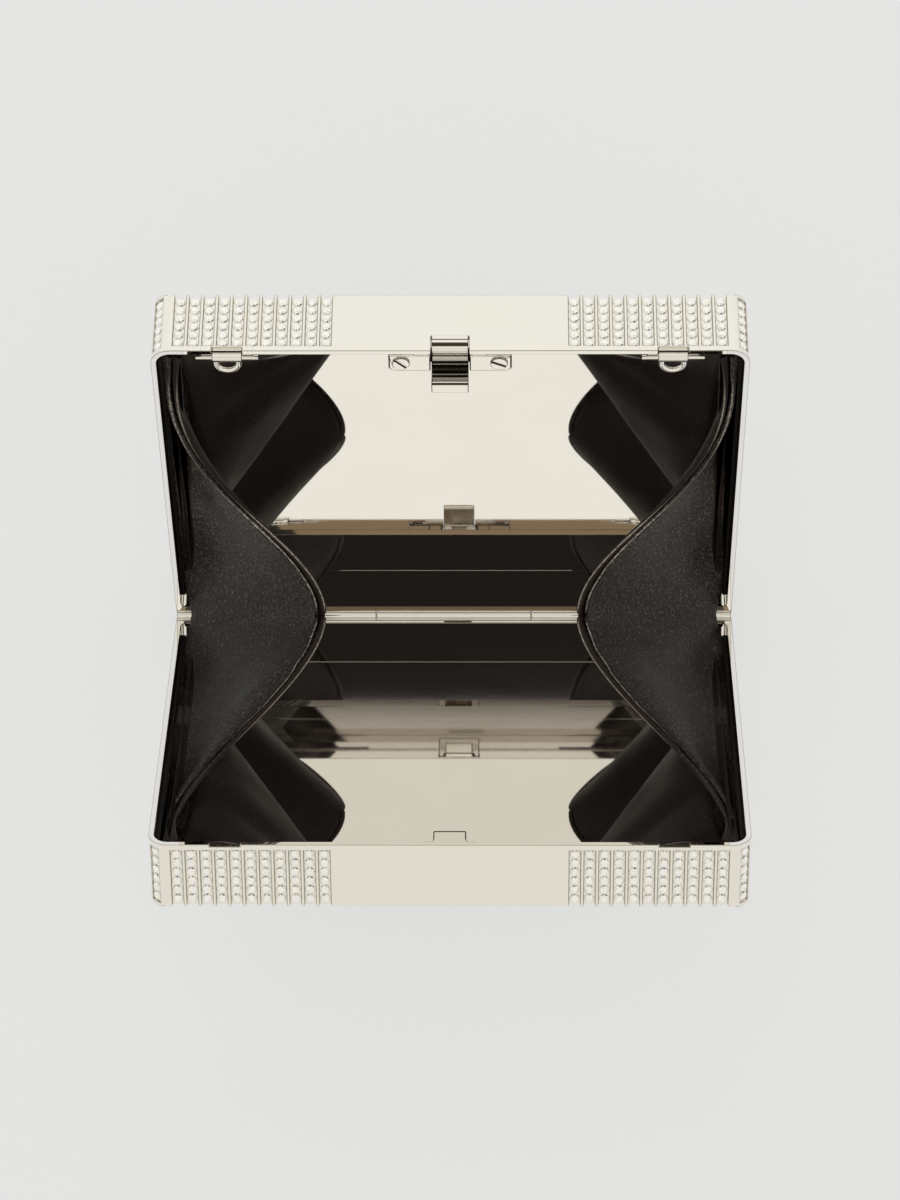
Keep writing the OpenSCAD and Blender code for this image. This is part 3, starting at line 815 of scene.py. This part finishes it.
def side_spots(shell, stone):
    """Rows from the mouth down on the side walls, and one on each upright corner."""
    sink = stone.crown + stone.recess
    half, round_by = shell.width / 2, shell.corner_radius
    top = shell.height - round_by
    out = Matrix.Translation((round_by - sink, 0, 0))
    spots = []
    for side in (-1, 1):
        outward = Matrix.Rotation(side * math.pi / 2, 4, "Y")
        corner_turn = Matrix.Rotation(math.pi / 2 - side * math.pi / 4, 4, "Z")
        for k in range(stones_down(shell, stone)):
            depth = depth_of(stone, k)
            for row in range(int((top - stone.foot_margin) / stone.row_pitch)):
                at = (side * (half - sink), top - (row + 0.5) * stone.row_pitch, -depth)
                spots.append(Matrix.Translation(at) @ outward)
            corner = Matrix.Translation((side * (half - round_by), top, -depth))
            spots.append(
                corner @ corner_turn @ out @ Matrix.Rotation(math.pi / 2, 4, "Y")
            )
    return spots


class ClutchSetStones(bpy.types.Operator):
    """Fills every channel with its row of stones"""

    bl_idname = "clutch.set_stones"
    bl_label = "Set the stones"

    def execute(self, context):
        shell, stone = sizes(context, "shell"), sizes(context, "stones")
        chance = random.Random(stone.seed)
        rows = (("face", face_spots(shell, stone)), ("side", side_spots(shell, stone)))
        for body, part in HALVES:
            for place, spots in rows:
                set_stones(
                    context, f"{part}_{place}_crystals", body, spots,
                    f"{part}_{place}_stones", chance,
                )
        return {"FINISHED"}


# Finishes of the fittings: the surface, a darker tone painted on its edges and bands as
# painted shade and dark reflections, and a softer painted band
WORN, FITTING = ("hinge", "edge"), ("fitting", "edge")
LEVER = (*FITTING, "rim")


class ClutchDressHinge(bpy.types.Operator):
    """Polishes the hinge and its pin, and wraps the strips of the gussets in cloth"""

    bl_idname = "clutch.dress_hinge"
    bl_label = "Dress the hinge"

    def execute(self, context):
        for body, part in HALVES:
            dressed(context, part + "_hinge_leaf", body, "leaf", FITTING)
        dressed(context, "hinge_pin", FRONT, "hinge_pin", WORN)
        for side in SIDES:
            for body, part in HALVES:
                node = f"{part}_{side}_clamp"
                dressed(context, node, body, "clamp", ("wrap", "wrap"))
        return {"FINISHED"}


class ClutchDressLatch(bpy.types.Operator):
    """Polishes the latch, its screws and the strike"""

    bl_idname = "clutch.dress_latch"
    bl_label = "Dress the latch"

    def execute(self, context):
        dressed(
            context, "latch_bracket", BACK, "bracket", FITTING, shade_bracket
        )
        dressed(context, "latch_screws", BACK, "screws", FITTING)
        dressed(context, "latch_lever", "lever", "lever", LEVER, shade_lever)
        dressed(context, "latch_pin", BACK, "latch_pin", WORN)
        leaf = dressed(context, "latch_spring", BACK, "spring", WORN)
        hinge, _, mouth = shell_ways(context, BACK)
        out = -mouth
        seat = hinge + out * sizes(context, "latch").spring_seat
        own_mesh(leaf)
        dressed(
            context, "strike_plate", FRONT, "strike", FITTING, shade_strike
        )
        dressed(context, "strike_rivets", FRONT, "rivets", FITTING)
        return {"FINISHED"}


class ClutchDressLugs(bpy.types.Operator):
    """Polishes the chain lugs and their bars"""

    bl_idname = "clutch.dress_lugs"
    bl_label = "Dress the chain lugs"

    def execute(self, context):
        for side in SIDES:
            dressed(context, side + "_lug_pin", BACK, "lug", FITTING)
            dressed(context, side + "_lug", side + "_lug", "lug", FITTING)
        return {"FINISHED"}


# Gussets


def smooth_step(low, high, x):
    t = min(1.0, max(0.0, (x - low) / (high - low)))
    return t * t * (3 - 2 * t)


# Along a gusset's half, u goes from the foot of its fold (0) to the end of its lip (1),
# and v from its attached edge (0) to its fold or lip (1). Pairs are ranges of them.
FOLD_ENDS = (-0.02, 0.12)  # in u past the point, where the fold's rounding runs out
FOLD_SETS_IN = (0.0, 0.35)
SAG_AT = 0.16  # in v
SAG_START, SAG_FINISH = (0.0, 0.22), (0.8, 1.0)
CRUMPLES = ((38, 0.45), (95, 0.18))  # waves in a metre, and height in millimetres
CRUMPLE_SETS_IN = (0.05, 0.3)
STEP = 0.004  # in u and v, for the slope of the cloth


class GussetShape:
    """Half of one gusset on the left side, from its attached edge to its fold and lip."""

    def __init__(self, context, body):
        self.g, self.shell = sizes(context, "gussets"), sizes(context, "shell")
        g, shell = self.g, self.shell
        self.inner = -shell.width / 2 + shell.wall
        self.flip = 1 if body == BACK else -1
        if body == BACK:
            self.lean, self.run = -g.lean, g.back_run
            self.pull, self.pull_depth = g.back_pull, g.back_pull_depth
        else:
            self.lean, self.run = g.lean, g.front_run
            self.pull, self.pull_depth = g.front_pull, g.front_pull_depth

    def shell_point(self, x, along, depth):
        """A place in the shell: across, from the hinge axis, and below the mouth."""
        a = self.shell.half_open
        y = along * math.sin(a) + depth * math.cos(a)
        z = self.shell.axis_height + along * math.cos(a) - depth * math.sin(a)
        return Vector((x, y, z))

    def edge(self, u):
        """Place on the edge that is attached beside the side wall."""
        g = self.g
        return self.shell_point(
            self.inner + g.wall_gap, g.start + (g.finish - g.start) * u, g.edge_depth
        )

    def rim(self, u):
        """Place on the fold, up to the point, and then on the curved lip."""
        g = self.g
        high = self.shell.axis_height
        point = Vector((self.inner + g.reach, self.lean, high + g.point_height))
        if u < g.point_share:
            foot = Vector((self.inner + g.fold_in, 0, high + g.fold_up))
            return foot.lerp(point, u / g.point_share)
        t = (u - g.point_share) / (1 - g.point_share)
        run = point + self.run * g.point_height * Vector((0, 1, g.rise))
        pull = self.shell_point(
            self.inner - g.pull_out, self.pull * g.finish, self.pull_depth
        )
        end = self.shell_point(self.inner + g.end_in, g.finish, g.end_depth)
        s = 1 - t
        return s**3 * point + 3 * t * s * s * run + 3 * t * t * s * pull + t**3 * end

    def skin(self, u, v):
        """Middle of the outer ply."""
        g = self.g
        edge, rim = self.edge(u), self.rim(u)
        at = edge.lerp(rim, v)
        wide = (rim - edge).length
        # The fold is rounded, so both halves meet level across it
        near_fold = 1 - smooth_step(*FOLD_ENDS, u - g.point_share)
        fold = (self.rim(g.point_share) - self.rim(0.0)).normalized()
        across = rim - edge
        across.y = 0
        across -= fold * across.dot(fold)
        left = (1 - v) * across.length
        rounded = left - math.sqrt(left * left + g.fold_round**2) + g.fold_round
        at += across.normalized() * rounded * near_fold * smooth_step(*FOLD_SETS_IN, v)
        # A valley beside the side wall
        a = self.shell.half_open
        outward = Vector((0, math.cos(a), -math.sin(a)))
        deep = g.sag * smooth_step(*SAG_START, u) * (1 - smooth_step(*SAG_FINISH, u))
        deep *= min(1.0, wide / g.sag_room)
        at += outward * deep * (v / SAG_AT) * math.exp(1 - v / SAG_AT)
        # Both halves read the same noise, so that they meet along the fold
        spot = Vector((at.x, at.y * self.flip, at.z))
        wave = sum(noise.noise(spot * waves) * high for waves, high in CRUMPLES)
        at.z += wave * MM * smooth_step(*CRUMPLE_SETS_IN, v)
        return at

    def normal(self, u, v):
        """Points to the outside of the clutch, which the camera sees."""
        du = self.skin(min(1, u + STEP), v) - self.skin(max(0, u - STEP), v)
        dv = self.skin(u, min(1, v + STEP)) - self.skin(u, max(0, v - STEP))
        n = dv.cross(du)
        if v == 1 and u <= self.g.point_share:
            n.y = 0  # both halves meet level along the fold
        return n.normalized()

    def hem_fit(self, wide):
        """Share of its full width that the hem has where the gusset is this wide."""
        return min(1.0, wide / (self.g.hem * HEM_ROOM))


# Columns over the hem, by their distance from the lip in hem widths; the seam is at 1
HEM_MARKS = (0.0, 0.1, 0.22, 0.45, 0.7, 0.9, 1.0, 1.1, 1.3, 1.7)
HEM_ROOM = 3.2  # hem widths that a gusset needs for its full hem
GRID_LENGTHS, EVEN_COLUMNS = 80, 14
SEAM_WANDER, SEAM_WAVES = 0.20, 34
WANDER_SETS_IN = (0.2, 0.9)  # in hem widths
NEAR_LIP = 0.985  # in v
LIP_SETS_IN = (-0.01, 0.03)  # in u past the point


class GussetGrid:
    """Places and directions over half a gusset, with close columns over its hem."""

    def __init__(self, context, body):
        self.shape, self.g = GussetShape(context, body), sizes(context, "gussets")
        shape, g = self.shape, self.g
        self.rows = []
        for i in range(GRID_LENGTHS + 1):
            u = i / GRID_LENGTHS
            wide = (shape.rim(u) - shape.edge(u)).length
            fit = shape.hem_fit(wide)
            wave = noise.noise(Vector((u * SEAM_WAVES, shape.flip * 2.0, 3.0)))
            marks = [
                m * g.hem * fit * (1 + SEAM_WANDER * wave * smooth_step(*WANDER_SETS_IN, m))
                for m in HEM_MARKS
            ]
            far = 1 - marks[-1] / wide
            places = [far * k / EVEN_COLUMNS for k in range(EVEN_COLUMNS)]
            places += [1 - m / wide for m in reversed(marks)]
            beyond = (shape.skin(u, 1.0) - shape.skin(u, NEAR_LIP)).normalized()
            lip = smooth_step(*LIP_SETS_IN, u - g.point_share)
            self.rows.append(
                (lip * fit, beyond,
                 [(shape.skin(u, v), shape.normal(u, v)) for v in places])
            )
        self.columns = EVEN_COLUMNS + len(HEM_MARKS)

    def mark(self, column):
        """Distance of a column from the lip, in hem widths."""
        if column < EVEN_COLUMNS:
            return 2.0 + EVEN_COLUMNS - column
        return HEM_MARKS[self.columns - 1 - column]


LIP_STEPS = 4  # faces round the edge of the lip
HEM_SWELL, HEM_FOOT = 0.5, (0.9, 1.15)  # what the hem adds to the ply, and up to where
SEAM_DENT, SEAM_WIDTH = 0.5, 0.1
# how strongly the lip's edge and the seam get painted highlight
LIP_PALE, SEAM_PALE = 1.0, 0.6
LIP_EDGE = 0.9  # points further out than this are the very edge of the lip
STITCHED = (0.02, 0.97)  # in u: from past the point to near the end of the lip
STITCH_HALF, STITCH_LIFT = 0.33, 0.42  # in stitch pitches, and in plies
THREAD = 1  # place of the thread among a ply's finishes


def sew_half(grid, body, side, ply):
    """One ply of half a gusset: a closed skin with a turned hem and its stitches."""
    g = grid.g
    aside = Vector((ply * g.ply_gap, 0, 0))
    last = grid.columns - 1
    loop = [(j, 1.0, 0.0) for j in range(last + 1)]
    for k in range(1, LIP_STEPS):
        turn = k * math.pi / LIP_STEPS
        loop.append((last, math.cos(turn), math.sin(turn)))
    loop += [(last - j, -1.0, 0.0) for j in range(last + 1)]
    bm = bmesh.new()
    bmesh.ops.create_grid(
        bm, x_segments=len(grid.rows) - 1, y_segments=len(loop) - 1, size=0.5
    )
    pale = bm.verts.layers.float.new("pale")
    for vert in bm.verts:
        lip, beyond, places = grid.rows[round((vert.co.x + 0.5) * (len(grid.rows) - 1))]
        column, up, out = loop[round((vert.co.y + 0.5) * (len(loop) - 1))]
        middle, n = places[column]
        mark = grid.mark(column)
        swell = 1 + HEM_SWELL * lip * (1 - smooth_step(*HEM_FOOT, mark))
        swell *= 1 - SEAM_DENT * lip * math.exp(-(((mark - 1.0) / SEAM_WIDTH) ** 2))
        half_thick = g.ply / 2 * swell
        # painted highlight on the very edge of the lip and on the seam
        shows = LIP_PALE if out > LIP_EDGE else SEAM_PALE if mark == 1.0 else 0.0
        vert[pale] = lip * shows
        vert.co = middle + aside + n * up * half_thick + beyond * (out * half_thick * lip)
        if column == last:
            vert.co.y -= g.lap * (1 - lip)
        if ply == 0:
            wave = noise.noise(middle / g.waver_pitch)
            short = max(0.0, g.set_back + 2 * g.waver * wave) * lip
            vert.co -= beyond * short * (1 - smooth_step(0.0, HEM_MARKS[-1], mark))
    bmesh.ops.remove_doubles(bm, verts=bm.verts, dist=TOUCHING)
    bmesh.ops.holes_fill(bm, edges=[e for e in bm.edges if e.is_boundary], sides=0)
    bmesh.ops.recalc_face_normals(bm, faces=bm.faces)
    add_stitches(bm, grid, aside)
    if side == "right":
        bmesh.ops.scale(bm, vec=(-1, 1, 1), verts=bm.verts)
        bmesh.ops.reverse_faces(bm, faces=bm.faces)
    if body == FRONT:
        bmesh.ops.scale(bm, vec=(1, -1, 1), verts=bm.verts)
        bmesh.ops.reverse_faces(bm, faces=bm.faces)
    return bm


def add_stitches(bm, grid, aside):
    """A row of short raised threads along the seam of the hem."""
    shape, g = grid.shape, grid.g
    stitch = Matrix.Diagonal((g.stitch * STITCH_HALF, g.thread, g.thread, 1))
    u = g.point_share + STITCHED[0]
    while u < STITCHED[1]:
        wide = (shape.rim(u) - shape.edge(u)).length
        v = 1 - g.hem * shape.hem_fit(wide) / wide
        at, n = shape.skin(u, v), shape.normal(u, v)
        ahead = shape.skin(u + STEP, v) - at
        forward = ahead.normalized()
        place = Matrix((forward, n.cross(forward).normalized(), n)).transposed().to_4x4()
        place.translation = at + aside + n * g.ply * STITCH_LIFT
        made = bmesh.ops.create_icosphere(
            bm, subdivisions=1, radius=1.0, matrix=place @ stitch
        )
        for face in {f for vert in made["verts"] for f in vert.link_faces}:
            face.material_index = THREAD
        u += g.stitch * STEP / ahead.length


class ClutchSewGussets(bpy.types.Operator):
    """Sews both gussets: two plies each, in halves that ride on their trays"""

    bl_idname = "clutch.sew_gussets"
    bl_label = "Sew the gussets"

    def execute(self, context):
        shell, gusset = sizes(context, "shell"), sizes(context, "gussets")
        # Each half is cut as a triangle that stands on its attached edge
        grids = {body: GussetGrid(context, body) for body in (FRONT, BACK)}
        for side in SIDES:
            for ply, cad, cover in ((0, "", "cloth"), (1, "_lining", "lining")):
                finishes = [finish_for(context, key) for key in (cover, "thread")]
                for body, part in HALVES:
                    piece = finished(
                        sew_half(grids[body], body, side, ply),
                        f"{side}_gusset{cad}_{part}", finishes, body,
                        [f"{side}_gusset{cad}"], 60, False,
                    )
                    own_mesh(piece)
        return {"FINISHED"}


# Studio


KEY_PLACE, KEY_AIM, KEY_SIZE, KEY_POWER = (-0.3, 1.0, 1.6), (0, 0, 0.05), (1.2, 0.9), 3
# Tones of the walls, by their angle in degrees from overhead towards the back
WALL_TONES = (
    (-180, (0.75, 0.73, 0.67)),
    (-90, (0.80, 0.775, 0.70)),
    (-65, (0.811, 0.788, 0.709)),
    (-45, (0.770, 0.746, 0.649)),
    (-8, (0.90, 0.88, 0.81)),
    (22, (0.96, 0.95, 0.88)),
    (24, (0.30, 0.23, 0.145)),
    (30, (0.30, 0.23, 0.145)),
    (32, (0.98, 0.975, 0.90)),
    (38, (0.994, 0.989, 0.917)),
    (71, (0.948, 0.934, 0.856)),
    (90, (0.87, 0.86, 0.79)),
    (180, (0.75, 0.73, 0.67)),
)
# The dark hatch overhead: where its sides, its near edge and its far edge soften, in
# degrees, and how dark it is across its near edge
HATCH_SIDES, HATCH_NEAR, HATCH_FAR = (6.0, 7.5), (-2.0, -0.8), (-7.0, -5.8)
HATCH_DEPTHS = ((0.29, 1.0), (0.37, 0.55), (0.50, 0.48), (0.67, 0.28), (0.92, 0.0))
HATCH_TONE = (0.0150, 0.0122, 0.0102)
PAPER_FADE = 0.985  # tone of the table between its fibres
SENSOR_MM, CLIP = 36.0, (0.01, 20)
MIRROR_BOUNCES = 16  # the panels mirror each other many times


def in_radians(angles):
    return [math.radians(a) for a in angles]


def lay_table(context):
    """A lit pale table under the clutch, of paper with a faint fibre."""
    studio, tone = sizes(context, "studio"), sizes(context, "finishes").floor
    bm = bmesh.new()
    bmesh.ops.create_grid(bm, x_segments=8, y_segments=8, size=studio.table_half)
    bmesh.ops.translate(bm, verts=bm.verts, vec=(0, 0, -studio.table_drop))
    paper = Finish("Lit studio table", Roughness=0.9, Emission_Strength=studio.glow)
    fibre = paper.cloud(3, 3).clamped(0.3, 0.7)
    paper.set(
        Base_Color=paper.shades(fibre, tuple(c * PAPER_FADE for c in tone), tuple(tone)),
        Emission_Color=(1.0, 1.0, 1.0, 1.0),
    )
    floor = finished(bm, "studio_floor", [paper.material], None, weigh=False)


def hang_key_panel(context):
    """One broad soft lamp behind the clutch, which no mirror shows."""
    lamp = bpy.data.lights.new("Key panel", "AREA")
    lamp.shape, lamp.energy = "RECTANGLE", KEY_POWER
    lamp.size, lamp.size_y = KEY_SIZE
    panel = bpy.data.objects.new("Key panel", lamp)
    context.collection.objects.link(panel)
    away = (Vector(KEY_PLACE) - Vector(KEY_AIM)).normalized()
    turn = away.to_track_quat("Z", "Y").to_matrix().to_4x4()
    panel.matrix_world = Matrix.Translation(KEY_PLACE) @ turn
    panel.visible_glossy = False


def set_surround(context):
    """Pale walls all round, a brown beam at the back and a dark hatch overhead."""
    world = bpy.data.worlds.new("Studio surround")
    context.scene.world = world
    world.use_nodes = True
    sky = Nodes(world.node_tree)
    across, along, high = sky.parts(sky.add("ShaderNodeTexCoord").outputs["Generated"])
    lean = along.angle_from(high)
    stops = [((degrees + 180) / 360, tone) for degrees, tone in WALL_TONES]
    walls = sky.ramp(lean.clamped(-math.pi, math.pi), stops)
    side = 1 - across.angle_from(high).size().clamped(*in_radians(HATCH_SIDES))
    near = sky.ramp(
        lean.clamped(*in_radians(HATCH_NEAR)),
        [(at, (deep,) * 3) for at, deep in HATCH_DEPTHS],
    )
    far = lean.clamped(*in_radians(HATCH_FAR))
    tone = sky.shades(side * far * Value(sky, near), walls, HATCH_TONE)
    backdrop = world.node_tree.nodes["Background"]
    sky.feed(backdrop.inputs["Color"], tone)
    sky.feed(backdrop.inputs["Strength"], 1.0)


def set_camera(context):
    """The photograph's camera: almost straight above, leaning to the front and right."""
    studio = sizes(context, "studio")
    tilt, lean = studio.tilt, studio.roll_off
    right = Vector(
        (math.cos(lean), math.sin(lean) * math.sin(tilt), -math.sin(lean) * math.cos(tilt))
    )
    up = Vector((0, math.cos(tilt), math.sin(tilt)))
    away = Vector(
        (math.sin(lean), -math.cos(lean) * math.sin(tilt), math.cos(lean) * math.cos(tilt))
    )
    axis = Vector((0, 0, sizes(context, "shell").axis_height))
    lens = bpy.data.cameras.new("Camera")
    lens.lens, lens.sensor_width, lens.sensor_fit = studio.lens, SENSOR_MM, "AUTO"
    lens.clip_start, lens.clip_end = CLIP
    camera = bpy.data.objects.new("Camera", lens)
    context.collection.objects.link(camera)
    place = Matrix((right, up, away)).transposed().to_4x4()
    place.translation = (
        axis - right * studio.shift_x - up * studio.shift_y + away * studio.distance
    )
    camera.matrix_world = place
    context.scene.camera = camera
    context.scene.view_settings.view_transform = "Standard"
    context.scene.cycles.max_bounces = MIRROR_BOUNCES
    context.scene.cycles.glossy_bounces = MIRROR_BOUNCES


class ClutchSetStudio(bpy.types.Operator):
    """Sets the table, the surround, the soft light and the camera"""

    bl_idname = "clutch.set_studio"
    bl_label = "Set the studio"

    def execute(self, context):
        lay_table(context)
        set_surround(context)
        hang_key_panel(context)
        set_camera(context)
        return {"FINISHED"}


class ClutchPanel(bpy.types.Panel):
    """Shows the clutch's sizes and the buttons for its steps"""

    bl_idname = "CLUTCH_PT_pieces"
    bl_label = "Evening clutch"
    bl_space_type = "VIEW_3D"
    bl_region_type = "UI"
    bl_category = "Clutch"

    def draw(self, context):
        for group, made in GROUPS.items():
            box = self.layout.box()
            box.label(text=group)
            for key in made.__annotations__:
                box.prop(sizes(context, group), key)
        for operator in STEPS:
            self.layout.operator(operator.bl_idname)


GROUPS = {
    "shell": ClutchShellSizes,
    "edges": ClutchEdgeSizes,
    "stones": ClutchStoneSizes,
    "gussets": ClutchGussetSizes,
    "latch": ClutchLatchSizes,
    "finishes": ClutchFinishes,
    "studio": ClutchStudio,
}
STEPS = (
    ClutchSetStudio,
    ClutchDressShells,
    ClutchDressPanels,
    ClutchSetStones,
    ClutchDressHinge,
    ClutchDressLatch,
    ClutchDressLugs,
    ClutchSewGussets,
)


def register():
    for made in (*GROUPS.values(), *STEPS, ClutchPanel):
        bpy.utils.register_class(made)
    for group, made in GROUPS.items():
        pointer = bpy.props.PointerProperty(type=made)
        setattr(bpy.types.Scene, "clutch_" + group, pointer)


def unregister():
    for group in GROUPS:
        delattr(bpy.types.Scene, "clutch_" + group)
    for made in (ClutchPanel, *reversed(STEPS), *reversed(GROUPS.values())):
        bpy.utils.unregister_class(made)


def main():
    register()
    for step in STEPS:
        group, name = step.bl_idname.split(".")
        getattr(getattr(bpy.ops, group), name)()


if __name__ == "__main__":
    main()
